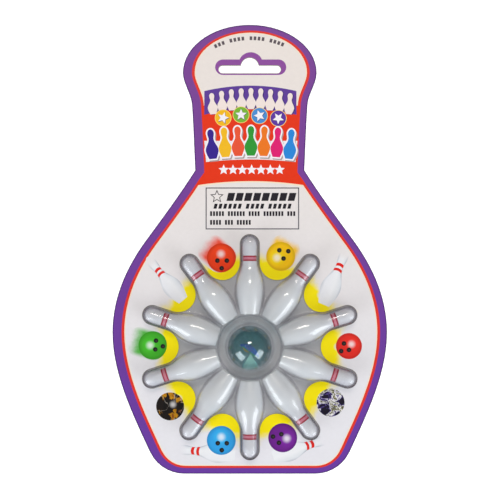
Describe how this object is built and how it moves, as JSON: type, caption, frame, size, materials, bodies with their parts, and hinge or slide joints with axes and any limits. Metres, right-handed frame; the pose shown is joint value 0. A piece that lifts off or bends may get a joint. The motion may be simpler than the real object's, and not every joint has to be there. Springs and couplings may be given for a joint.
{
  "type": "carded toy bowling set",
  "caption": "Flat card cut to a bowling pin's outline, with a hang slot and a clear blister that holds a ring of small toy pins round a clear ball.",
  "frame": {"origin": "middle of the card's back face, which it lies on", "axes": "+Z out of the printed face, +Y up the card to the hang slot, +X to the right as the card is read"},
  "size_m": [0.116, 0.19, 0.0199],
  "materials": {
    "front_board": "coated and printed in bright inks, with a light gloss",
    "back_board": "uncoated grey-white board, matt",
    "clear_sheet": "clear thermoformed sheet, glossy",
    "ball_glass": "clear teal glass with a blue streak, polished",
    "pin_plastic": "pearl white moulding with two thin red bands round the neck"
  },
  "bodies": {
    "card": {"front_card": "front_board", "back_card": "back_board", "blister": "clear_sheet"},
    "ball": {"ball": "ball_glass"},
    "pin_01": {"pin_01": "pin_plastic"},
    "pin_02": {"pin_02": "pin_plastic"},
    "pin_03": {"pin_03": "pin_plastic"},
    "pin_04": {"pin_04": "pin_plastic"},
    "pin_05": {"pin_05": "pin_plastic"},
    "pin_06": {"pin_06": "pin_plastic"},
    "pin_07": {"pin_07": "pin_plastic"},
    "pin_08": {"pin_08": "pin_plastic"},
    "pin_09": {"pin_09": "pin_plastic"},
    "pin_10": {"pin_10": "pin_plastic"}
  },
  "joints": [
    {"name": "ball_turn", "type": "hinge", "parent": "card", "child": "ball", "pos_m": [0, -0.0416, 0.01005], "axis": [0, 0, 1], "continuous": true},
    {"name": "pin_01_turn", "type": "hinge", "parent": "card", "child": "pin_01", "pos_m": [0.01322, -0.0373, 0.0063], "axis": [0.9511, 0.309, 0], "continuous": true},
    {"name": "pin_02_turn", "type": "hinge", "parent": "card", "child": "pin_02", "pos_m": [0.00817, -0.03035, 0.0063], "axis": [0.5878, 0.809, 0], "continuous": true},
    {"name": "pin_03_turn", "type": "hinge", "parent": "card", "child": "pin_03", "pos_m": [0, -0.0277, 0.0063], "axis": [0, 1, 0], "continuous": true},
    {"name": "pin_04_turn", "type": "hinge", "parent": "card", "child": "pin_04", "pos_m": [-0.00817, -0.03035, 0.0063], "axis": [-0.5878, 0.809, 0], "continuous": true},
    {"name": "pin_05_turn", "type": "hinge", "parent": "card", "child": "pin_05", "pos_m": [-0.01322, -0.0373, 0.0063], "axis": [-0.9511, 0.309, 0], "continuous": true},
    {"name": "pin_06_turn", "type": "hinge", "parent": "card", "child": "pin_06", "pos_m": [-0.01322, -0.0459, 0.0063], "axis": [-0.9511, -0.309, 0], "continuous": true},
    {"name": "pin_07_turn", "type": "hinge", "parent": "card", "child": "pin_07", "pos_m": [-0.00817, -0.05285, 0.0063], "axis": [-0.5878, -0.809, 0], "continuous": true},
    {"name": "pin_08_turn", "type": "hinge", "parent": "card", "child": "pin_08", "pos_m": [0, -0.0555, 0.0063], "axis": [0, -1, 0], "continuous": true},
    {"name": "pin_09_turn", "type": "hinge", "parent": "card", "child": "pin_09", "pos_m": [0.00817, -0.05285, 0.0063], "axis": [0.5878, -0.809, 0], "continuous": true},
    {"name": "pin_10_turn", "type": "hinge", "parent": "card", "child": "pin_10", "pos_m": [0.01322, -0.0459, 0.0063], "axis": [0.9511, -0.309, 0], "continuous": true}
  ]
}
